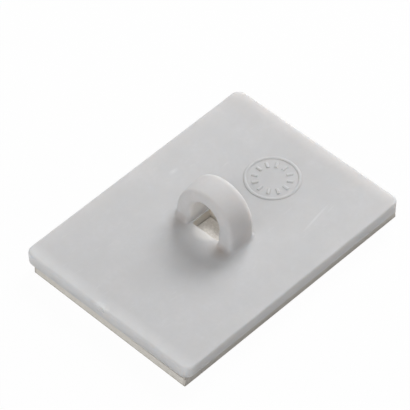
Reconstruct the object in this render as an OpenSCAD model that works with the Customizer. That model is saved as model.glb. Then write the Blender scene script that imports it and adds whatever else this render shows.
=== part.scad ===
// Adhesive cable tie mount: a moulded plate with a loop that a cable tie passes through,
// a foam pad with adhesive on both faces under the plate, and a peel-off release liner.
// X runs along the plate, Z is up, and the liner's underside lies on Z = 0.

/* [Plate] */
// Length of the plate along X
plate_l = 27.6; // [18:0.1:45]
// Width of the plate along Y
plate_w = 20; // [12:0.1:35]
// Thickness of the plate
plate_t = 1.25; // [0.8:0.05:2.5]
// Radius of the plate's upright corners
corner_r = 1; // [0.3:0.05:2]
// Draft of the plate's side walls in degrees, narrower towards the pad
wall_draft = 1.5; // [0:0.5:6]
// Height of the round along the plate's upper edge
edge_h = 0.2; // [0.1:0.05:0.5]
// How far the edge's round runs in from the long sides
edge_side = 0.2; // [0.1:0.05:0.8]
// How far the edge's round runs in from the short ends
edge_end = 0.25; // [0.1:0.05:2]

/* [Tie loop] */
// Width of the loop over its round top
loop_w = 7; // [6:0.1:8.2]
// Height of the loop above the plate
loop_h = 4.75; // [4.65:0.05:9]
// Depth of the loop along X at its foot
loop_d = 3; // [1.8:0.1:5]
// Draft of the loop's front and back faces in degrees
face_draft = 0; // [0:0.5:4]
// Lean of the whole loop towards +X in degrees
loop_lean = 4.5; // [-6:0.5:6]
// Draft of the outside of the legs in degrees
leg_draft = 5; // [0:0.5:10]
// Radius of the loop's outer edges at its foot
rim_foot_r = 0.5; // [0.1:0.05:0.6]
// Radius of the loop's outer edge towards -X, at its top
rim_front_r = 0.6; // [0.1:0.05:0.8]
// Radius of the loop's outer edge towards +X, at its top
rim_back_r = 0.8; // [0.1:0.05:0.9]
// Radius along the tunnel's edges
tunnel_edge_r = 0.45; // [0.1:0.05:0.55]
// Radius of the fillet where the legs meet the plate
foot_r = 0.4; // [0.05:0.05:0.6]
// Where the loop and its slot stand, along X from the plate's middle
loop_x = 0.07; // [-2:0.01:2]
// Where the loop and its slot stand, along Y from the plate's middle
loop_y = 0; // [-2:0.01:2]

/* [Tie tunnel and slot] */
// Width of the tunnel at its round top
tunnel_w = 3.4; // [2:0.1:4.4]
// Height of the tunnel above the plate
tunnel_h = 3.35; // [2.2:0.05:3.45]
// Draft of the tunnel's walls in degrees, wider towards the plate
tunnel_draft = 1; // [0:0.5:5]
// Length of the slot through the plate along X
slot_l = 2.4; // [1.5:0.1:6]
// Ledge on the plate between the slot's wall and the tunnel's wall
slot_ledge = 0.13; // [0.05:0.01:0.4]
// Radius of the slot's corners
slot_corner_r = 0.1; // [0.05:0.05:0.5]
// Draft of the slot's walls in degrees, wider towards the pad
slot_draft = 1; // [0:0.5:3]

/* [Gate notch] */
// Length of the trimmed notch along the short edge
gate_w = 0.9; // [0.6:0.1:3]
// Depth of the notch into the edge
gate_d = 0.12; // [0.05:0.01:0.3]
// Height of the notch below the plate's top
gate_h = 0.4; // [0.2:0.05:0.7]
// Place of the notch along Y
gate_y = 0.5; // [-3:0.05:3]

/* [Foam pad and liner] */
// How much shorter than the plate the pad and liner are cut
pad_short = 0.56; // [0:0.02:4]
// How much narrower than the plate the pad and liner are
pad_narrow = 1.2; // [0:0.1:4]
// How far out of square the end of the pad towards -X is cut
pad_skew = 0.2; // [0:0.02:0.6]
// Thickness of the foam pad
pad_t = 0.9; // [0.4:0.1:2]
// Thickness of the release liner
liner_t = 0.1; // [0.05:0.01:0.2]
// Where the pad was stuck, along X from the plate's middle
pad_x = -0.26; // [-0.28:0.01:0.28]
// Where the pad was stuck, along Y from the plate's middle
pad_y = -0.34; // [-0.6:0.01:0.6]

/* [Hidden] */

// Heights of the stack, from the surface that the mount stands on
pad_z = liner_t;
plate_z = liner_t + pad_t;

// Length and width of the pad and of its liner
pad_l = plate_l - pad_short;
pad_w = plate_w - pad_narrow;

// Steps in each quarter round, and along the loop's arch
round_steps = 5;
arch_steps = 30;

// How far cutters run past what they cut, and how deep the loop is rooted in the plate
cut_over = 1;
root_depth = plate_t * 0.6;

// Centres of the loop's outer and inner arches above the plate's top
arch_r = loop_w / 2;
arch_z = loop_h - arch_r;
tunnel_r = tunnel_w / 2;
tunnel_z = tunnel_h - tunnel_r;

// Half width of the tunnel where it meets the plate, and of the slot inside its ledge
tunnel_foot = tunnel_r * cos(tunnel_draft) + (tunnel_z - tunnel_r * sin(tunnel_draft)) * tan(tunnel_draft);
slot_half = tunnel_foot - slot_ledge;

// Angles along one quarter round, from start
function quarter(start) = [for (i = [0 : round_steps]) start + 90 * i / round_steps];

// Outline of a rectangle with round corners, counter-clockwise, centred on the origin
function round_rect(l, w, r) = [
    for (corner = [[1, -1, -90], [1, 1, 0], [-1, 1, 90], [-1, -1, 180]])
        for (a = quarter(corner[2]))
            [corner[0] * (l / 2 - r) + r * cos(a), corner[1] * (w / 2 - r) + r * sin(a)]
];

function at_height(outline, z) = [for (p = outline) [p[0], p[1], z]];

// A solid skin over closed rings that hold the same number of points
module loft(rings) {
    n = len(rings[0]);
    last = (len(rings) - 1) * n;
    sides = [
        for (k = [0 : len(rings) - 2])
            for (i = [0 : n - 1])
                let (a = k * n + i, b = k * n + (i + 1) % n)
                    each [[a, a + n, b + n], [a, b + n, b]]
    ];
    caps = [[for (i = [0 : n - 1]) i], [for (i = [n - 1 : -1 : 0]) last + i]];
    polyhedron([for (ring = rings) each ring], concat(sides, caps), convexity = 6);
}

// The plate's blank: drafted walls, then an edge round that runs further in on the short ends
module plate_blank() {
    pull_in = (plate_t - edge_h) * tan(wall_draft);
    foot = round_rect(plate_l - 2 * pull_in, plate_w - 2 * pull_in, corner_r);
    edge = [
        for (a = quarter(0))
            let (run = 1 - cos(a))
                at_height(
                    round_rect(plate_l - 2 * edge_end * run, plate_w - 2 * edge_side * run, corner_r),
                    plate_t - edge_h + edge_h * sin(a)
                )
    ];
    loft(concat([at_height(foot, 0)], edge));
}

// The hole that the mould's core leaves in the plate under the loop
module slot_core() {
    grow = (plate_t + cut_over) * tan(slot_draft);
    bottom_z = -cut_over;
    top_z = plate_t + cut_over;
    loft([
        at_height(round_rect(slot_l + 2 * grow, 2 * (slot_half + grow), slot_corner_r), bottom_z),
        at_height(round_rect(slot_l, 2 * slot_half, slot_corner_r), plate_t),
        at_height(round_rect(slot_l, 2 * slot_half, slot_corner_r), top_z)
    ]);
}

// The shallow round notch left where the moulding was trimmed from its gate
module gate_notch() {
    notch_r = (pow(gate_w / 2, 2) + pow(gate_d, 2)) / (2 * gate_d);
    translate([gate_d - notch_r - plate_l / 2, gate_y, plate_t - gate_h])
        cylinder(r = notch_r, h = gate_h + cut_over, $fn = 96);
}

// Points on a drafted arch, in the YZ plane: its straight leg at a height, and its round top at an
// angle. The leg runs off the round at a tangent.
function leg_point(r, centre_z, draft, z) =
    [r * cos(draft) + (centre_z - r * sin(draft) - z) * tan(draft), z];
function arch_point(r, centre_z, turn) = [r * cos(turn), centre_z + r * sin(turn)];

// How much the foot's fillet adds at a height above the plate
function foot_flare(z) =
    z <= 0 ? foot_r :
    z >= foot_r ? 0 :
    foot_r - sqrt(pow(foot_r, 2) - pow(foot_r - z, 2));

// One ring of the loop, from its inner and outer points in the YZ plane: a rectangle with round
// edges, which grow with height, narrowed by its faces' draft and moved by its lean
function loop_ring(inner, outer, flare) =
    let (
        reach = norm(outer - inner),
        dir = (outer - inner) / reach,
        thick = reach + flare,
        half = loop_d / 2 + flare,
        lift = max(outer[1], 0) / loop_h,
        back_r = rim_foot_r + (rim_back_r - rim_foot_r) * lift,
        front_r = rim_foot_r + (rim_front_r - rim_foot_r) * lift,
        edges = [
            [half - tunnel_edge_r, tunnel_edge_r, tunnel_edge_r, -90],
            [half - back_r, thick - back_r, back_r, 0],
            [front_r - half, thick - front_r, front_r, 90],
            [tunnel_edge_r - half, tunnel_edge_r, tunnel_edge_r, 180]
        ]
    )
    [
        for (e = edges)
            for (a = quarter(e[3]))
                let (
                    across = e[0] + e[2] * cos(a),
                    place = inner + dir * (e[1] + e[2] * sin(a)),
                    rise = max(place[1], 0),
                    narrow = 1 - 2 * rise * tan(face_draft) / loop_d
                )
                [across * narrow + rise * tan(loop_lean), place[0], place[1]]
    ];

// The rings of one leg, from its root in the plate up to the arch
function leg_rings() =
    let (
        inner_top = tunnel_z - tunnel_r * sin(tunnel_draft),
        outer_top = arch_z - arch_r * sin(leg_draft),
        fillet = [for (a = quarter(0)) foot_r * (1 - cos(a))],
        heights = concat([-root_depth], fillet)
    )
    [
        for (z = heights)
            let (inner_z = z <= 0 ? z : z * inner_top / outer_top)
                loop_ring(
                    leg_point(tunnel_r, tunnel_z, tunnel_draft, inner_z),
                    leg_point(arch_r, arch_z, leg_draft, z),
                    foot_flare(z)
                )
    ];

// The loop: a ring swept up one leg, over the arch and down the other leg
module loop_sweep() {
    legs = leg_rings();
    arch = [
        for (i = [0 : arch_steps])
            let (
                share = i / arch_steps,
                inner_turn = -tunnel_draft + (180 + 2 * tunnel_draft) * share,
                outer_turn = -leg_draft + (180 + 2 * leg_draft) * share
            )
            loop_ring(
                arch_point(tunnel_r, tunnel_z, inner_turn),
                arch_point(arch_r, arch_z, outer_turn),
                0
            )
    ];
    far_legs = [
        for (k = [len(legs) - 1 : -1 : 0])
            [for (p = legs[k]) [p[0], -p[1], p[2]]]
    ];
    loft(concat(legs, arch, far_legs));
}

module moulded_base() {
    color("gainsboro")
        translate([0, 0, plate_z])
            union() {
                difference() {
                    plate_blank();
                    translate([loop_x, loop_y, 0])
                        slot_core();
                    gate_notch();
                }
                translate([loop_x, loop_y, plate_t])
                    loop_sweep();
            }
}

// The outline that pad and liner are cut to in one stroke
module pad_outline() {
    translate([pad_x, pad_y])
        polygon([
            [-pad_l / 2, -pad_w / 2],
            [pad_l / 2, -pad_w / 2],
            [pad_l / 2, pad_w / 2],
            [pad_skew - pad_l / 2, pad_w / 2]
        ]);
}

module foam_pad() {
    color("antiquewhite")
        translate([0, 0, pad_z])
            linear_extrude(pad_t)
                pad_outline();
}

module release_liner() {
    color("ivory")
        linear_extrude(liner_t)
            pad_outline();
}

moulded_base();
foam_pad();
release_liner();
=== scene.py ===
import math

import bmesh
import bpy
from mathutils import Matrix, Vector, noise


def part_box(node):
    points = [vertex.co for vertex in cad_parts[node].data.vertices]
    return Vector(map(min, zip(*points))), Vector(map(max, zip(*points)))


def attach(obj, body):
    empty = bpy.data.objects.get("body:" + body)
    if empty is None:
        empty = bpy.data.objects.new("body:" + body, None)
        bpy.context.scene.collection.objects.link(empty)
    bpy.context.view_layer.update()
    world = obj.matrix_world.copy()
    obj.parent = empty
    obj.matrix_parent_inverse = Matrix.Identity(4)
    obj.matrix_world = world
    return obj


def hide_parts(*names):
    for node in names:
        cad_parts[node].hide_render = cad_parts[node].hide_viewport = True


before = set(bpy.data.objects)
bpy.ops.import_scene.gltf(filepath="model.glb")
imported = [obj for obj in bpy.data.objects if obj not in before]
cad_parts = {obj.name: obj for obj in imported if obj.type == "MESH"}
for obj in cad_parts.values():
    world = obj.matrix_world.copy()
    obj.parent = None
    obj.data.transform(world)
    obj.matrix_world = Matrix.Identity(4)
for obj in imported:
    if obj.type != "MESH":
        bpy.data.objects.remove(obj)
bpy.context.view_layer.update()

# The moulded base: one injection moulding in natural white polypropylene. Its plate has a soft upper
# edge, the mould's core leaves a slot through it, and over the slot stands the loop for the cable tie,
# which leans a little and has drafted legs.
mm = 0.001
base_low, base_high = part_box("moulded_base")
plate_length = base_high.x - base_low.x
plate_width = base_high.y - base_low.y
plate_thick = 1.25 * mm
plate_top = base_low.z + plate_thick
plate_points_along = 84
plate_points_across = 60
plate_points_corner = 8
plate_rows = 34
row_crowding = 1.5
corner_radius = 0.85 * mm
wall_draft = math.radians(1.5)
edge_height = 0.2 * mm
edge_run_sides = 0.14 * mm
edge_run_gate_end = 0.25 * mm
edge_run_plain_end = 0.15 * mm
edge_steps = 8
lower_edge = 0.05 * mm
lower_bend_height = 0.4 * lower_edge
lower_bend_cut = 0.2 * lower_edge
wave_height = 0.012 * mm
wave_length = 5.5 * mm
wave_onset = 4
end_fall = 0.008 * mm
end_fall_length = 1.2 * mm
end_swell = 0.03 * mm
end_swell_place = 1.0 * mm
end_swell_reach = 1.0 * mm


def rounded_outline(length, width, radius, along, across, steps):
    """Points round a rectangle with round corners, counter-clockwise from its -Y +X corner."""
    arcs = []
    for side_x, side_y, start in ((1, -1, -90), (1, 1, 0), (-1, 1, 90), (-1, -1, 180)):
        centre_x = side_x * (length / 2 - radius)
        centre_y = side_y * (width / 2 - radius)
        turns = [math.radians(start + 90 * k / steps) for k in range(steps + 1)]
        arcs.append([(centre_x + radius * math.cos(t), centre_y + radius * math.sin(t)) for t in turns])
    points = []
    for arc, following, count in zip(arcs, arcs[1:] + arcs[:1], (across, along, across, along)):
        (x0, y0), (x1, y1) = arc[-1], following[0]
        points += arc
        points += [(x0 + (x1 - x0) * k / count, y0 + (y1 - y0) * k / count) for k in range(1, count)]
    return points


def skin(name, rings):
    """A closed mesh over rings that hold the same number of points, with a cap on each end."""
    count = len(rings[0])
    points = [point for ring in rings for point in ring]
    faces = [
        (k * count + i, k * count + (i + 1) % count, (k + 1) * count + (i + 1) % count, (k + 1) * count + i)
        for k in range(len(rings) - 1)
        for i in range(count)
    ]
    faces.append(tuple(reversed(range(count))))
    faces.append(tuple(range(len(points) - count, len(points))))
    mesh = bpy.data.meshes.new(name)
    mesh.from_pydata(points, [], faces)
    work = bmesh.new()
    work.from_mesh(mesh)
    bmesh.ops.recalc_face_normals(work, faces=work.faces)
    work.to_mesh(mesh)
    work.free()
    piece = bpy.data.objects.new(name, mesh)
    bpy.context.scene.collection.objects.link(piece)
    return piece


def plate_wave(x, y):
    """The slight sink and swell that cooling leaves in a moulded face."""
    return wave_height * noise.noise(Vector((x, y, 0)) / wave_length)


def end_drop(x):
    """How far the plate's face falls away towards its short ends, beyond a low swell at the plain end."""
    near = max(0.0, 1 - (plate_length / 2 - abs(x)) / end_fall_length)
    crest = (plate_length / 2 - x - end_swell_place) / end_swell_reach
    return end_fall * near**2 - end_swell * max(0.0, 1 - crest**2) ** 2


def plate_ring(length, width, radius, height, shift=0.0, waved=0.0, fallen=0.0):
    """One level of the plate's outline, with a share of the wave and of the fall at its ends."""
    outline = rounded_outline(
        length, width, radius, plate_points_along, plate_points_across, plate_points_corner
    )
    return [
        (x + shift, y, base_low.z + height + waved * plate_wave(x, y) - fallen * end_drop(x))
        for x, y in outline
    ]


loop_x = 0.07 * mm
loop_y = 0.0 * mm
slot_length = 2.4 * mm
slot_width = 3.2 * mm
slot_corner = 0.1 * mm
slot_corner_steps = 6
slot_draft = math.radians(1)
inner_ring_share = 0.6
wall_height = plate_thick - edge_height
wall_pull = wall_height * math.tan(wall_draft)
edge_run_both_ends = edge_run_gate_end + edge_run_plain_end
edge_shift = (edge_run_gate_end - edge_run_plain_end) / 2
wall_levels = (
    (0, lower_edge),
    (lower_bend_height, lower_bend_cut),
    (lower_edge, 0),
    (wall_height / 2, 0),
)
plate_rings = []
for height, cut in wall_levels:
    pull = 2 * (wall_pull * (1 - height / wall_height) + cut)
    plate_rings.append(plate_ring(plate_length - pull, plate_width - pull, corner_radius, height))
for step in range(edge_steps + 1):
    turn = math.radians(90 * step / edge_steps)
    run = 1 - math.cos(turn)
    plate_rings.append(
        plate_ring(
            plate_length - run * edge_run_both_ends,
            plate_width - 2 * run * edge_run_sides,
            corner_radius,
            wall_height + edge_height * math.sin(turn),
            shift=run * edge_shift,
            fallen=1.0,
        )
    )
for row in range(1, plate_rows + 1):
    share = (row / plate_rows) ** row_crowding
    rest = 1 - share
    plate_rings.append(
        plate_ring(
            (plate_length - edge_run_both_ends) * rest + inner_ring_share * slot_length * share,
            (plate_width - 2 * edge_run_sides) * rest + inner_ring_share * slot_width * share,
            corner_radius * rest + slot_corner * share,
            plate_thick,
            shift=edge_shift * rest,
            waved=min(1.0, wave_onset * share),
            fallen=1.0,
        )
    )
moulding = skin("tie_mount_moulding", plate_rings)

cutter_over = 1 * mm
slot_grow = 2 * (plate_thick + cutter_over) * math.tan(slot_draft)
slot_levels = ((slot_grow, -cutter_over), (0, plate_thick), (0, plate_thick + cutter_over))
slot_rings = []
for grow, height in slot_levels:
    outline = rounded_outline(slot_length + grow, slot_width + grow, slot_corner, 1, 1, slot_corner_steps)
    slot_rings.append([(loop_x + x, loop_y + y, base_low.z + height) for x, y in outline])
slot_cutter = skin("slot_cutter", slot_rings)

gate_width = 0.9 * mm
gate_depth = 0.12 * mm
gate_height = 0.4 * mm
gate_place = 0.5 * mm
gate_steps = 96
gate_radius = ((gate_width / 2) ** 2 + gate_depth**2) / (2 * gate_depth)
gate_centre = base_low.x + gate_depth - gate_radius
gate_turns = [2 * math.pi * k / gate_steps for k in range(gate_steps)]
gate_outline = [
    (gate_centre + gate_radius * math.cos(turn), gate_place + gate_radius * math.sin(turn))
    for turn in gate_turns
]
gate_rings = [
    [(x, y, plate_top + height) for x, y in gate_outline] for height in (-gate_height, cutter_over)
]
gate_cutter = skin("gate_cutter", gate_rings)

loop_width = 7 * mm
loop_height = base_high.z - plate_top
loop_depth = 3 * mm
loop_lean = math.radians(4.5)
loop_taper = 0.14 * mm
loop_taper_end = 0.5
leg_draft = math.radians(5)
rim_foot_radius = 0.5 * mm
rim_front_radius = 0.45 * mm
rim_back_radius = 0.8 * mm
tunnel_width = 3.4 * mm
tunnel_height = 3.35 * mm
tunnel_draft = math.radians(1)
tunnel_rim_radius = 0.45 * mm
foot_radius = 0.3 * mm
root_depth = 0.6 * plate_thick
section_steps = 8
arch_steps = 72
arch_radius = loop_width / 2
arch_centre = loop_height - arch_radius
tunnel_radius = tunnel_width / 2
tunnel_centre = tunnel_height - tunnel_radius


def leg_point(radius, centre, draft, height):
    """A point on an arch's drafted leg, which runs off its round at a tangent."""
    reach = radius * math.cos(draft) + (centre - radius * math.sin(draft) - height) * math.tan(draft)
    return Vector((reach, height))


def arch_point(radius, centre, draft, share):
    """A point on an arch's round, a share of the way over it from one leg to the other."""
    turn = -draft + (math.pi + 2 * draft) * share
    return Vector((radius * math.cos(turn), centre + radius * math.sin(turn)))


def foot_flare(height):
    """How much the fillet at the loop's foot adds at a height above the plate."""
    if height <= 0:
        return foot_radius
    if height >= foot_radius:
        return 0.0
    return foot_radius - math.sqrt(foot_radius**2 - (foot_radius - height) ** 2)


def loop_ring(inner, outer, flare=0.0):
    """The loop's section between two points of its arches: a rectangle with round edges, which is
    slimmer at its front. Towards the loop's top its back edge gets rounder and its front edge tighter."""
    direction = (outer - inner).normalized()
    half = loop_depth / 2 + flare
    lift = max(outer.y, 0) / loop_height
    thick = (outer - inner).length + flare
    front_thick = thick - loop_taper * min(1.0, lift / loop_taper_end)
    back_radius = flare + rim_foot_radius + (rim_back_radius - rim_foot_radius) * lift
    front_radius = flare + rim_foot_radius + (rim_front_radius - rim_foot_radius) * lift
    ring = []
    for across, out, radius, start in (
        (half - tunnel_rim_radius, tunnel_rim_radius, tunnel_rim_radius, -90),
        (half - back_radius, thick - back_radius, back_radius, 0),
        (front_radius - half, front_thick - front_radius, front_radius, 90),
        (tunnel_rim_radius - half, tunnel_rim_radius, tunnel_rim_radius, 180),
    ):
        for k in range(section_steps + 1):
            turn = math.radians(start + 90 * k / section_steps)
            place = inner + direction * (out + radius * math.sin(turn))
            lean = max(place.y, 0) * math.tan(loop_lean)
            ring.append((across + radius * math.cos(turn) + lean, place.x, place.y))
    return ring


leg_inner_top = tunnel_centre - tunnel_radius * math.sin(tunnel_draft)
leg_outer_top = arch_centre - arch_radius * math.sin(leg_draft)
foot_turns = [math.pi / 2 * k / section_steps for k in range(section_steps + 1)]
leg_rings = []
for height in [-root_depth] + [foot_radius * (1 - math.cos(turn)) for turn in foot_turns]:
    inner_height = height if height <= 0 else height * leg_inner_top / leg_outer_top
    leg_rings.append(
        loop_ring(
            leg_point(tunnel_radius, tunnel_centre, tunnel_draft, inner_height),
            leg_point(arch_radius, arch_centre, leg_draft, height),
            foot_flare(height),
        )
    )
arch_rings = []
for step in range(arch_steps + 1):
    share = step / arch_steps
    arch_rings.append(
        loop_ring(
            arch_point(tunnel_radius, tunnel_centre, tunnel_draft, share),
            arch_point(arch_radius, arch_centre, leg_draft, share),
        )
    )
far_leg_rings = [[(x, -y, z) for x, y, z in ring] for ring in reversed(leg_rings)]
loop_rings = [
    [(loop_x + x, loop_y + y, plate_top + z) for x, y, z in ring]
    for ring in leg_rings + arch_rings + far_leg_rings
]
loop = skin("loop", loop_rings)


def add_node(tree, kind, inputs=None, **settings):
    """A new node with its settings and the values of its inputs."""
    node = tree.nodes.new(kind)
    for name, value in settings.items():
        setattr(node, name, value)
    for name, value in (inputs or {}).items():
        node.inputs[name].default_value = value
    return node


def link_nodes(tree, *links):
    """Links that are each given as a node, its output, the next node and its input."""
    for source, output, target, entry in links:
        tree.links.new(source.outputs[output], target.inputs[entry])


# Slow cloudy change over a surface, which the plastic, the foam and the paper all show.
mottle = bpy.data.node_groups.new("mottle", "ShaderNodeTree")
for name in ("Scale", "Low", "High"):
    mottle.interface.new_socket(name, in_out="INPUT", socket_type="NodeSocketFloat")
mottle.interface.new_socket("Value", in_out="OUTPUT", socket_type="NodeSocketFloat")
mottle_in = add_node(mottle, "NodeGroupInput")
mottle_out = add_node(mottle, "NodeGroupOutput")
mottle_place = add_node(mottle, "ShaderNodeTexCoord")
mottle_cloud = add_node(mottle, "ShaderNodeTexNoise", {"Detail": 4.0, "Roughness": 0.55})
mottle_range = add_node(mottle, "ShaderNodeMapRange", {"From Min": 0.3, "From Max": 0.7})
link_nodes(
    mottle,
    (mottle_place, "Object", mottle_cloud, "Vector"),
    (mottle_in, "Scale", mottle_cloud, "Scale"),
    (mottle_cloud, "Fac", mottle_range, "Value"),
    (mottle_in, "Low", mottle_range, "To Min"),
    (mottle_in, "High", mottle_range, "To Max"),
    (mottle_range, "Result", mottle_out, "Value"),
)


def new_material(name):
    """A new material, with its node tree and its surface shader."""
    material = bpy.data.materials.new(name)
    material.use_nodes = True
    tree = material.node_tree
    return material, tree, tree.nodes["Principled BSDF"]


def add_mottle(tree, scale, low, high):
    """The mottle, as a value that changes between a low and a high one."""
    values = {"Scale": scale, "Low": low, "High": high}
    return add_node(tree, "ShaderNodeGroup", values, node_tree=mottle).outputs["Value"]


def add_fade(tree, source, start, end):
    """A mask that goes from nothing to one while a value goes from start to end."""
    fade = add_node(tree, "ShaderNodeMapRange", {"From Min": start, "From Max": end})
    tree.links.new(source, fade.inputs["Value"])
    return fade.outputs["Result"]


def add_mix(tree, mask, first, second):
    """Two colours, each given as a value or as another node's output, mixed by a mask."""
    blend = add_node(tree, "ShaderNodeMix", data_type="RGBA")
    tree.links.new(mask, blend.inputs["Factor"])
    for name, colour in (("A", first), ("B", second)):
        if isinstance(colour, bpy.types.NodeSocket):
            tree.links.new(colour, blend.inputs[name])
        else:
            blend.inputs[name].default_value = colour
    return blend.outputs["Result"]


def add_product(tree, first, second):
    """A mask where two other masks meet."""
    product = add_node(tree, "ShaderNodeMath", operation="MULTIPLY")
    tree.links.new(first, product.inputs[0])
    tree.links.new(second, product.inputs[1])
    return product.outputs["Value"]


def add_place(tree):
    """The X, Y and Z of a point of the surface."""
    place = add_node(tree, "ShaderNodeTexCoord")
    axes = add_node(tree, "ShaderNodeSeparateXYZ")
    tree.links.new(place.outputs["Object"], axes.inputs["Vector"])
    return axes.outputs


def add_spot(tree, centre, reach, turn=0.0):
    """An oval mask on a surface, which falls from one at its centre to nothing at its edge."""
    place = add_node(tree, "ShaderNodeTexCoord")
    oval_place = {"Location": centre, "Rotation": (0, 0, math.radians(turn)), "Scale": reach}
    oval = add_node(tree, "ShaderNodeMapping", oval_place, vector_type="TEXTURE")
    fall = add_node(tree, "ShaderNodeTexGradient", gradient_type="SPHERICAL")
    link_nodes(tree, (place, "Object", oval, "Vector"), (oval, "Vector", fall, "Vector"))
    return fall.outputs["Fac"]


def add_rubs(tree, turn, least, full):
    """A mask of fine straight rubs that all run one way."""
    place = add_node(tree, "ShaderNodeTexCoord")
    rub_run = {"Rotation": (0, 0, math.radians(turn)), "Scale": (0.2, 1, 1)}
    stretch = add_node(tree, "ShaderNodeMapping", rub_run)
    grain = add_node(tree, "ShaderNodeTexNoise", {"Scale": 2400, "Detail": 2.0})
    link_nodes(tree, (place, "Object", stretch, "Vector"), (stretch, "Vector", grain, "Vector"))
    return add_fade(tree, grain.outputs["Fac"], least, full)


plastic_pale = (0.676, 0.670, 0.674, 1)
plastic_cool = (0.640, 0.639, 0.650, 1)
plastic_dull = (0.604, 0.600, 0.602, 1)
# The rubbed colour serves the real rubs and scuffs, and also the painted highlight at the plate's -X end.
plastic_rubbed_and_lit = (0.710, 0.708, 0.712, 1)
plastic_stressed = (0.780, 0.778, 0.776, 1)
plastic_slot_shade = (0.640, 0.590, 0.520, 1)
plastic_foot_shade = (0.500, 0.465, 0.440, 1)
plastic_lit_tunnel = (0.780, 0.765, 0.750, 1)

# A spot is its centre, its reach and, where it has one, its turn in degrees. A band is where a mask starts
# and where it is full. Patches are a mottle's scale, low and high, and clouds are its scale and high.
cool_scale = 180
dull_clouds = ((300, 0.9), (1100, 0.6), (2800, 0.5))
scuff_spot = ((6.85 * mm, -6.0 * mm, plate_top), (2.3 * mm, 0.16 * mm, 0.5 * mm), 9)
blemish_spot = ((2.2 * mm, 7.1 * mm, plate_top), (0.6 * mm, 0.3 * mm, 0.5 * mm))
# Painted shade: darker spots on the plate in front of the loop's two feet, in place of their contact
# shadow.
near_foot_shade_spot = (
    (loop_x - 1.9 * mm, loop_y - 2.6 * mm, plate_top),
    (1.1 * mm, 1.5 * mm, 0.6 * mm),
)
far_foot_shade_spot = (
    (loop_x - 1.9 * mm, loop_y + 2.6 * mm, plate_top + 0.3 * mm),
    (1.2 * mm, 1.5 * mm, 0.6 * mm),
)
face_band = (plate_top + 0.1 * mm, plate_top + 0.05 * mm)
rub_runs = ((35, 0.68), (-25, 0.69), (80, 0.69))
rub_full = 1.1
# Painted highlight: a mottled lighter band along the plate's -X end, in place of the light that its edge
# catches.
lit_end_band = (base_low.x + 1.5 * mm, base_low.x + 0.6 * mm)
lit_end_patches = (500, 0.4, 0.9)
gate_spot = ((base_low.x, gate_place, plate_top), (0.7 * mm, 1.1 * mm, 0.6 * mm))
gate_patches = (3500, 0.2, 2.0)
# Painted light: the inside of the loop's tunnel is painted lighter, in place of the light that passes
# through the loop.
tunnel_light_spot = (
    (loop_x - 0.4 * mm, loop_y, plate_top + 1.5 * mm),
    (2.7 * mm, 2.1 * mm, 2.3 * mm),
)
tunnel_light_band = (0.02, 0.15)
# Painted shade: the slot's walls under the loop are painted darker and warmer, in place of the shade inside
# the slot.
slot_shade_spot = (
    (loop_x + 0.6 * mm, loop_y + 0.9 * mm, base_low.z),
    (2.2 * mm, 2.6 * mm, 4.0 * mm),
)
slot_shade_band = (0.05, 0.25)
slot_wall_band = (plate_top - 0.01 * mm, plate_top - 0.06 * mm)
satin_patches = (420, 0.66, 0.78)
grain_scale = 5000
grain_bump = {"Strength": 0.25, "Distance": 0.004 * mm}
plastic, plastic_tree, plastic_shader = new_material("satin_white_plastic")
plastic_shader.inputs["Subsurface Weight"].default_value = 0.5
plastic_shader.inputs["Subsurface Radius"].default_value = (1.2, 1.0, 0.85)
plastic_shader.inputs["Subsurface Scale"].default_value = 2.5 * mm
plastic_shader.inputs["Specular IOR Level"].default_value = 0.2
plastic_place = add_place(plastic_tree)
plate_face = add_fade(plastic_tree, plastic_place["Z"], *face_band)
slot_wall = add_fade(plastic_tree, plastic_place["Z"], *slot_wall_band)
lit_end = add_fade(plastic_tree, plastic_place["X"], *lit_end_band)
painted_end_highlight = add_product(plastic_tree, lit_end, add_mottle(plastic_tree, *lit_end_patches))
gate_end = add_spot(plastic_tree, *gate_spot)
stress = add_product(plastic_tree, gate_end, add_mottle(plastic_tree, *gate_patches))
# The painted light inside the loop's tunnel.
painted_tunnel_light = add_fade(plastic_tree, add_spot(plastic_tree, *tunnel_light_spot), *tunnel_light_band)
# The painted shade on the slot's walls.
slot_shade_fall = add_fade(plastic_tree, add_spot(plastic_tree, *slot_shade_spot), *slot_shade_band)
painted_slot_shade = add_product(plastic_tree, slot_wall, slot_shade_fall)

# What lies over the plastic's own colour, from the lowest layer up, as masks and the colours they bring.
# Some of them are painted shade and painted light.
plastic_layers = [(add_mottle(plastic_tree, scale, 0, most), plastic_dull) for scale, most in dull_clouds]
plastic_layers += [
    (add_spot(plastic_tree, *scuff_spot), plastic_rubbed_and_lit),
    (add_spot(plastic_tree, *blemish_spot), plastic_rubbed_and_lit),
    # The painted shade in front of the loop's feet.
    (add_spot(plastic_tree, *near_foot_shade_spot), plastic_foot_shade),
    (add_spot(plastic_tree, *far_foot_shade_spot), plastic_foot_shade),
]
for turn, least in rub_runs:
    rubs = add_rubs(plastic_tree, turn, least, rub_full)
    plastic_layers.append((add_product(plastic_tree, plate_face, rubs), plastic_rubbed_and_lit))
plastic_layers += [
    # The painted highlight along the plate's -X end.
    (painted_end_highlight, plastic_rubbed_and_lit),
    (stress, plastic_stressed),
    (painted_tunnel_light, plastic_lit_tunnel),
    (painted_slot_shade, plastic_slot_shade),
]
cool_clouds = add_mottle(plastic_tree, cool_scale, 0, 1)
plastic_shade = add_mix(plastic_tree, cool_clouds, plastic_cool, plastic_pale)
for mask, colour in plastic_layers:
    plastic_shade = add_mix(plastic_tree, mask, plastic_shade, colour)
plastic_bump = add_node(plastic_tree, "ShaderNodeBump", grain_bump)
plastic_tree.links.new(plastic_shade, plastic_shader.inputs["Base Color"])
plastic_tree.links.new(add_mottle(plastic_tree, *satin_patches), plastic_shader.inputs["Roughness"])
plastic_tree.links.new(add_mottle(plastic_tree, grain_scale, 0, 1), plastic_bump.inputs["Height"])
plastic_tree.links.new(plastic_bump.outputs["Normal"], plastic_shader.inputs["Normal"])
moulding.data.materials.append(plastic)

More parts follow.
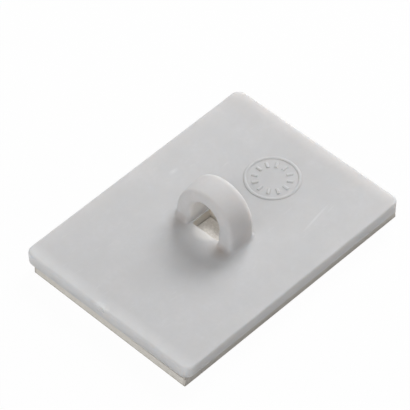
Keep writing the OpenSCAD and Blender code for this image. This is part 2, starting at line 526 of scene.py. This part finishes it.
# A plain dial in low relief on the plate, which is moulded with it: a ring and the ticks inside it.
dial_centre = (7.75 * mm, 0.07 * mm, plate_top - 0.07 * mm)
dial_radius = 2.5 * mm
dial_line = 0.19 * mm
tick_start = 1.35 * mm
tick_end = 1.95 * mm
tick_count = 12
dial_points = 96
line_points = 14
dial_tree = bpy.data.node_groups.new("plain_dial", "GeometryNodeTree")
dial_tree.interface.new_socket("Geometry", in_out="OUTPUT", socket_type="NodeSocketGeometry")
for name in ("Ring Radius", "Tick Start", "Tick End", "Line Radius"):
    dial_tree.interface.new_socket(name, in_out="INPUT", socket_type="NodeSocketFloat")
dial_tree.interface.new_socket("Centre", in_out="INPUT", socket_type="NodeSocketVector")
dial_in = add_node(dial_tree, "NodeGroupInput")
dial_out = add_node(dial_tree, "NodeGroupOutput")
dial_ring = add_node(dial_tree, "GeometryNodeCurvePrimitiveCircle", {"Resolution": dial_points})
tick_from = add_node(dial_tree, "ShaderNodeCombineXYZ")
tick_to = add_node(dial_tree, "ShaderNodeCombineXYZ")
tick = add_node(dial_tree, "GeometryNodeCurvePrimitiveLine")
hours = add_node(dial_tree, "GeometryNodePoints", {"Count": tick_count})
hour_index = add_node(dial_tree, "GeometryNodeInputIndex")
hour_turn = add_node(dial_tree, "ShaderNodeMath", {1: 2 * math.pi / tick_count}, operation="MULTIPLY")
hour_axis = add_node(dial_tree, "ShaderNodeCombineXYZ")
ticks = add_node(dial_tree, "GeometryNodeInstanceOnPoints")
dial_lines = add_node(dial_tree, "GeometryNodeJoinGeometry")
dial_curves = add_node(dial_tree, "GeometryNodeRealizeInstances")
line_profile = add_node(dial_tree, "GeometryNodeCurvePrimitiveCircle", {"Resolution": line_points})
dial_relief = add_node(dial_tree, "GeometryNodeCurveToMesh", {"Fill Caps": True})
dial_spot = add_node(dial_tree, "GeometryNodeTransform")
dial_real = add_node(dial_tree, "GeometryNodeRealizeInstances")
dial_plastic = add_node(dial_tree, "GeometryNodeSetMaterial", {"Material": plastic})
link_nodes(
    dial_tree,
    (dial_in, "Ring Radius", dial_ring, "Radius"),
    (dial_in, "Tick Start", tick_from, "X"),
    (dial_in, "Tick End", tick_to, "X"),
    (tick_from, "Vector", tick, "Start"),
    (tick_to, "Vector", tick, "End"),
    (hour_index, "Index", hour_turn, 0),
    (hour_turn, "Value", hour_axis, "Z"),
    (hours, "Points", ticks, "Points"),
    (tick, "Curve", ticks, "Instance"),
    (hour_axis, "Vector", ticks, "Rotation"),
    (ticks, "Instances", dial_lines, "Geometry"),
    (dial_ring, "Curve", dial_lines, "Geometry"),
    (dial_lines, "Geometry", dial_curves, "Geometry"),
    (dial_in, "Line Radius", line_profile, "Radius"),
    (dial_curves, "Geometry", dial_relief, "Curve"),
    (line_profile, "Curve", dial_relief, "Profile Curve"),
    (dial_relief, "Mesh", dial_spot, "Geometry"),
    (dial_in, "Centre", dial_spot, "Translation"),
    (dial_spot, "Geometry", dial_real, "Geometry"),
    (dial_real, "Geometry", dial_plastic, "Geometry"),
    (dial_plastic, "Geometry", dial_out, "Geometry"),
)
dial = bpy.data.objects.new("dial", bpy.data.meshes.new("dial"))
bpy.context.scene.collection.objects.link(dial)
dial_maker = dial.modifiers.new("dial", "NODES")
dial_maker.node_group = dial_tree
dial_sizes = {
    "Ring Radius": dial_radius,
    "Tick Start": tick_start,
    "Tick End": tick_end,
    "Line Radius": dial_line,
    "Centre": dial_centre,
}
for socket in dial_tree.interface.items_tree:
    if socket.name in dial_sizes:
        dial_maker[socket.identifier] = dial_sizes[socket.name]


def settle_mesh(piece):
    """Gives a piece the plain mesh that its modifiers make, and removes them."""
    bpy.context.view_layer.update()
    plain = bpy.data.meshes.new_from_object(piece.evaluated_get(bpy.context.evaluated_depsgraph_get()))
    piece.modifiers.clear()
    piece.data = plain


settle_mesh(dial)
moulding_steps = {slot_cutter: "DIFFERENCE", gate_cutter: "DIFFERENCE", loop: "UNION", dial: "UNION"}
for tool, operation in moulding_steps.items():
    joint = moulding.modifiers.new(tool.name, "BOOLEAN")
    joint.operation = operation
    joint.solver = "EXACT"
    joint.object = tool
settle_mesh(moulding)
for tool in moulding_steps:
    bpy.data.objects.remove(tool)
moulding_crease = math.radians(38)
moulding.data.shade_smooth()
moulding.data.set_sharp_from_angle(angle=moulding_crease)

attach(moulding, "root")
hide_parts("moulded_base")

# The foam pad: closed-cell foam tape with adhesive on both faces, cut to length with a knife and
# stuck under the plate by hand, a little off its middle. Its cut cells show along its edge, and its
# tacky face swells up into the slot.
foam_low, foam_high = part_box("foam_pad")
pad_middle = (foam_low + foam_high) / 2
pad_length = foam_high.x - foam_low.x
pad_width = foam_high.y - foam_low.y
pad_height = foam_high.z - foam_low.z
pad_points_along = 170
pad_points_across = 118
pad_points_corner = 5
pad_rows = 9
pad_skew = 0.2 * mm
pad_corner = 0.1 * mm
pad_pull = 0.33 * mm
pad_pull_reach = 4 * mm
pad_gap = 0.13 * mm
pad_gap_reach = 0.4 * mm
pad_gap_end = 1.4 * pad_gap_reach
pad_gap_inner_share = 0.7
pad_gap_fade = 4 * mm
pad_gap_least = 0.1
cell_size = 0.2 * mm
cell_depth = 0.05 * mm
swell_height = 0.07 * mm
swell_rows = 20
swell_first_share = 0.004
swell_gap = 0.01 * mm
swell_climb = 0.06 * mm
swell_climb_share = 0.3
swell_tilt = 0.15 * mm
tack_grain_size = 0.16 * mm
tack_grain_height = 0.06 * mm
tack_grain_onset = 5


def pad_outline(length, width, radius):
    """The points round the pad, or round the swell in the slot, which has as many."""
    return rounded_outline(length, width, radius, pad_points_along, pad_points_across, pad_points_corner)


def knife_cut(x, y):
    """A point of the pad's outline as the knife leaves it: one end is askew and a corner is drawn out."""
    lean = pad_skew * max(0.0, -2 * x / pad_length) * (y / pad_width + 0.5)
    corner_distance = math.hypot(pad_length / 2 - x, pad_width / 2 + y)
    pull = pad_pull * max(0.0, 1 - corner_distance / pad_pull_reach)
    return pad_middle.x + x + lean + pull, pad_middle.y + y


def pad_ring(inset, height, slit, cells=1.0):
    """One level of the knife's cut, where each opened cell of the foam leaves a small hollow. It sinks by
    a share of the slit under the plate, which closes towards the pad's +Y side."""
    ring = []
    for x, y in pad_outline(pad_length - 2 * inset, pad_width - 2 * inset, pad_corner):
        hollow = cells * cell_depth * max(0.0, noise.noise(Vector((x, y, height)) / cell_size))
        x *= 1 - 2 * hollow / pad_length
        y *= 1 - 2 * hollow / pad_width
        gap = pad_gap * min(1.0, max(pad_gap_least, (pad_width / 2 - y) / pad_gap_fade))
        ring.append((*knife_cut(x, y), foam_low.z + height - slit * gap))
    return ring


def swell_ring(share):
    """A ring of the tacky face where it swells into the slot, from the slot's wall to its middle."""
    rest = 1 - share
    length = (slot_length - 2 * swell_gap) * rest
    width = (slot_width - 2 * swell_gap) * rest
    climb = swell_climb * max(0.0, 1 - share / swell_climb_share) ** 2
    rise = swell_height + climb if share else 0.0
    tilt = swell_tilt if share else 0.0
    rough = tack_grain_height * min(1.0, tack_grain_onset * share)
    ring = []
    for x, y in pad_outline(length, width, slot_corner * rest):
        grain = rough * noise.noise(Vector((x, y, 0)) / tack_grain_size)
        ring.append((loop_x + x, loop_y + y, foam_high.z + rise + tilt * (0.5 - x / slot_length) + grain))
    return ring


pad_rings = []
for row in range(pad_rows + 1):
    pad_rings.append(pad_ring(0, pad_height * row / pad_rows, slit=row / pad_rows))
pad_rings.append(pad_ring(pad_gap_reach, pad_height, slit=pad_gap_inner_share, cells=0.0))
pad_rings.append(pad_ring(pad_gap_end, pad_height, slit=0.0, cells=0.0))
swell_shares = [0, swell_first_share]
swell_shares += [(row / swell_rows) ** row_crowding for row in range(1, swell_rows)]
pad_rings += [swell_ring(share) for share in swell_shares]
foam_crease = math.radians(60)
foam_piece = skin("foam_tape_pad", pad_rings)
foam_piece.data.shade_smooth()
foam_piece.data.set_sharp_from_angle(angle=foam_crease)

foam_pale = (0.80, 0.77, 0.72, 1)
foam_tan = (0.73, 0.695, 0.635, 1)
foam_shaded = (0.575, 0.545, 0.50, 1)
tack_pale = (0.86, 0.83, 0.79, 1)
tack_dull = (0.70, 0.67, 0.62, 1)
foam_scale = 2500
tack_scale = 4000
tack_band = (foam_high.z - 0.02 * mm, foam_high.z)
# Painted shade: the pad's long sides are painted darker at their edge, in place of the shade under the
# plate's overhang.
foam_side_shade_band = (pad_width / 2 - 0.3 * mm, pad_width / 2 - 0.12 * mm)
foam_patches = (1500, 0.55, 0.85)
foam, foam_tree, foam_shader = new_material("cut_foam")
foam_place = add_place(foam_tree)
foam_across = add_node(foam_tree, "ShaderNodeMath", {1: pad_middle.y}, operation="SUBTRACT")
foam_side = add_node(foam_tree, "ShaderNodeMath", operation="ABSOLUTE")
foam_tree.links.new(foam_place["Y"], foam_across.inputs[0])
foam_tree.links.new(foam_across.outputs["Value"], foam_side.inputs[0])
# The painted shade along the pad's long sides.
painted_foam_side_shade = add_fade(foam_tree, foam_side.outputs["Value"], *foam_side_shade_band)
foam_face = add_fade(foam_tree, foam_place["Z"], *tack_band)
foam_cells = add_mix(foam_tree, add_mottle(foam_tree, foam_scale, 0, 1), foam_tan, foam_pale)
foam_tack = add_mix(foam_tree, add_mottle(foam_tree, tack_scale, 0, 1), tack_dull, tack_pale)
foam_edge = add_mix(foam_tree, painted_foam_side_shade, foam_cells, foam_shaded)
foam_shade = add_mix(foam_tree, foam_face, foam_edge, foam_tack)
foam_tree.links.new(foam_shade, foam_shader.inputs["Base Color"])
foam_tree.links.new(add_mottle(foam_tree, *foam_patches), foam_shader.inputs["Roughness"])
foam_piece.data.materials.append(foam)
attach(foam_piece, "root")
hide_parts("foam_pad")

# The release liner: thin silicone-coated paper that covers the pad's lower adhesive face and is
# peeled off before the mount is stuck down. It is cut in one stroke with the pad.
liner_low, liner_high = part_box("release_liner")
liner_rings = [
    [(*knife_cut(x, y), height) for x, y in pad_outline(pad_length, pad_width, pad_corner)]
    for height in (liner_low.z, liner_high.z)
]
liner_piece = skin("release_paper", liner_rings)
paper_dull = (0.44, 0.41, 0.35, 1)
paper_pale = (0.52, 0.49, 0.43, 1)
paper_scale = 1200
paper, paper_tree, paper_shader = new_material("liner_paper")
paper_shader.inputs["Roughness"].default_value = 0.6
paper_shade = add_mix(paper_tree, add_mottle(paper_tree, paper_scale, 0, 1), paper_dull, paper_pale)
paper_tree.links.new(paper_shade, paper_shader.inputs["Base Color"])
liner_piece.data.materials.append(paper)
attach(liner_piece, "root")
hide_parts("release_liner")

# The table: a plain white sheet that lies just under the part. It stays white to the camera, and a
# small share of plain paint keeps the part's soft shadow on it.
table_reach = 600 * mm
table_drop = 0.01 * mm
table_glow_share = 0.97
table_corners = [(-table_reach, -table_reach, 0), (table_reach, -table_reach, 0)]
table_corners += [(table_reach, table_reach, 0), (-table_reach, table_reach, 0)]
table_mesh = bpy.data.meshes.new("table")
table_mesh.from_pydata(table_corners, [], [(0, 1, 2, 3)])
table = bpy.data.objects.new("table", table_mesh)
table.location.z = -table_drop
bpy.context.scene.collection.objects.link(table)


def add_seen(tree):
    """One for rays from the camera, also by a mirror or through glass, and nothing for other light."""
    path = add_node(tree, "ShaderNodeLightPath")
    mirrored = add_node(tree, "ShaderNodeMath", operation="ADD")
    seen = add_node(tree, "ShaderNodeMath", operation="ADD", use_clamp=True)
    link_nodes(
        tree,
        (path, "Is Glossy Ray", mirrored, 0),
        (path, "Is Transmission Ray", mirrored, 1),
        (path, "Is Camera Ray", seen, 0),
        (mirrored, "Value", seen, 1),
    )
    return seen.outputs["Value"]


table_white = bpy.data.materials.new("table_white")
table_white.use_nodes = True
table_tree = table_white.node_tree
table_tree.nodes.clear()
table_out = add_node(table_tree, "ShaderNodeOutputMaterial")
table_paint = add_node(table_tree, "ShaderNodeBsdfDiffuse", {"Color": (0.8, 0.8, 0.8, 1)})
table_glow = add_node(table_tree, "ShaderNodeEmission", {"Color": (1, 1, 1, 1), "Strength": 1.0})
table_share = add_node(table_tree, "ShaderNodeMath", {1: table_glow_share}, operation="MULTIPLY")
table_mix = add_node(table_tree, "ShaderNodeMixShader")
table_tree.links.new(add_seen(table_tree), table_share.inputs[0])
link_nodes(
    table_tree,
    (table_share, "Value", table_mix, "Fac"),
    (table_paint, "BSDF", table_mix, 1),
    (table_glow, "Emission", table_mix, 2),
    (table_mix, "Shader", table_out, "Surface"),
)
table_mesh.materials.append(table_white)

# The light: a white tent round the part, with wide, far walls and a few windows behind the part as the
# camera sees it. The world is white to the camera and in reflections, and gives no other light.
world = bpy.data.worlds.new("white_tent")
bpy.context.scene.world = world
world.use_nodes = True
world_tree = world.node_tree
tent = world_tree.nodes["Background"]
tent.inputs["Color"].default_value = (1, 1, 1, 1)
world_tree.links.new(add_seen(world_tree), tent.inputs["Strength"])
wall_spread = math.radians(50)
window_spread = math.radians(16)
window_distance = 370 * mm


def place_lamp(name, lamp, azimuth, elevation):
    """A lamp that shines on the part from a bearing and a height, in degrees."""
    a, e = math.radians(azimuth), math.radians(elevation)
    towards = Vector((math.cos(a) * math.cos(e), math.sin(a) * math.cos(e), math.sin(e)))
    panel = bpy.data.objects.new(name, lamp)
    panel.location = towards * window_distance
    panel.rotation_mode = "QUATERNION"
    panel.rotation_quaternion = towards.to_track_quat("Z", "Y")
    bpy.context.scene.collection.objects.link(panel)
    return panel


def tent_wall(name, azimuth, elevation, strength):
    """A wide, far wall of the tent."""
    lamp = bpy.data.lights.new(name, "SUN")
    lamp.angle = wall_spread
    lamp.energy = strength
    place_lamp(name, lamp, azimuth, elevation)


def tent_window(name, azimuth, elevation, strength):
    """A round window in the tent, close enough to light the end of the part beside it a little more. On
    the part's middle it is as strong as a wall of that strength."""
    lamp = bpy.data.lights.new(name, "AREA")
    lamp.shape = "DISK"
    lamp.size = 2 * window_distance * math.tan(window_spread / 2)
    lamp.energy = math.pi * strength * window_distance**2
    place_lamp(name, lamp, azimuth, elevation).visible_camera = False


tent_wall("top", azimuth=0, elevation=90, strength=0.09)
tent_wall("near_high", azimuth=225, elevation=60, strength=0.63)
tent_wall("front_wide", azimuth=180, elevation=25, strength=1.11)
tent_wall("near_wide", azimuth=225, elevation=25, strength=0.08)
tent_wall("right_wide", azimuth=310, elevation=40, strength=0.14)
tent_window("strip_right", azimuth=-15, elevation=22, strength=0.20)
tent_window("strip_left", azimuth=5, elevation=22, strength=0.16)
tent_window("window_right", azimuth=5, elevation=34, strength=0.62)
tent_window("window_left", azimuth=25, elevation=34, strength=0.84)
tent_window("window_top_right", azimuth=-15, elevation=46, strength=0.10)
tent_window("window_top", azimuth=25, elevation=46, strength=0.80)
tent_window("window_top_left", azimuth=45, elevation=46, strength=0.11)

# The camera: a long lens that looks down on the part from beyond its -X -Y corner. Its place was fitted
# to the plate's corners and the loop in the photograph.
camera_azimuth = math.radians(-46.215)
camera_elevation = math.radians(48.194)
camera_distance = 331.4 * mm
camera_target = Vector((1.218 * mm, 2.225 * mm, plate_top))
camera_lens = 324.98
camera_sensor = 36
camera_near = 10 * mm
camera_back = Vector(
    (
        math.sin(camera_azimuth) * math.cos(camera_elevation),
        -math.cos(camera_azimuth) * math.cos(camera_elevation),
        math.sin(camera_elevation),
    )
)
camera_data = bpy.data.cameras.new("camera")
camera_data.lens = camera_lens
camera_data.sensor_width = camera_sensor
camera_data.clip_start = camera_near
camera = bpy.data.objects.new("camera", camera_data)
camera.location = camera_target + camera_back * camera_distance
camera.rotation_mode = "QUATERNION"
camera.rotation_quaternion = camera_back.to_track_quat("Z", "Y")
bpy.context.scene.collection.objects.link(camera)
bpy.context.scene.camera = camera
bpy.context.scene.view_settings.view_transform = "Standard"
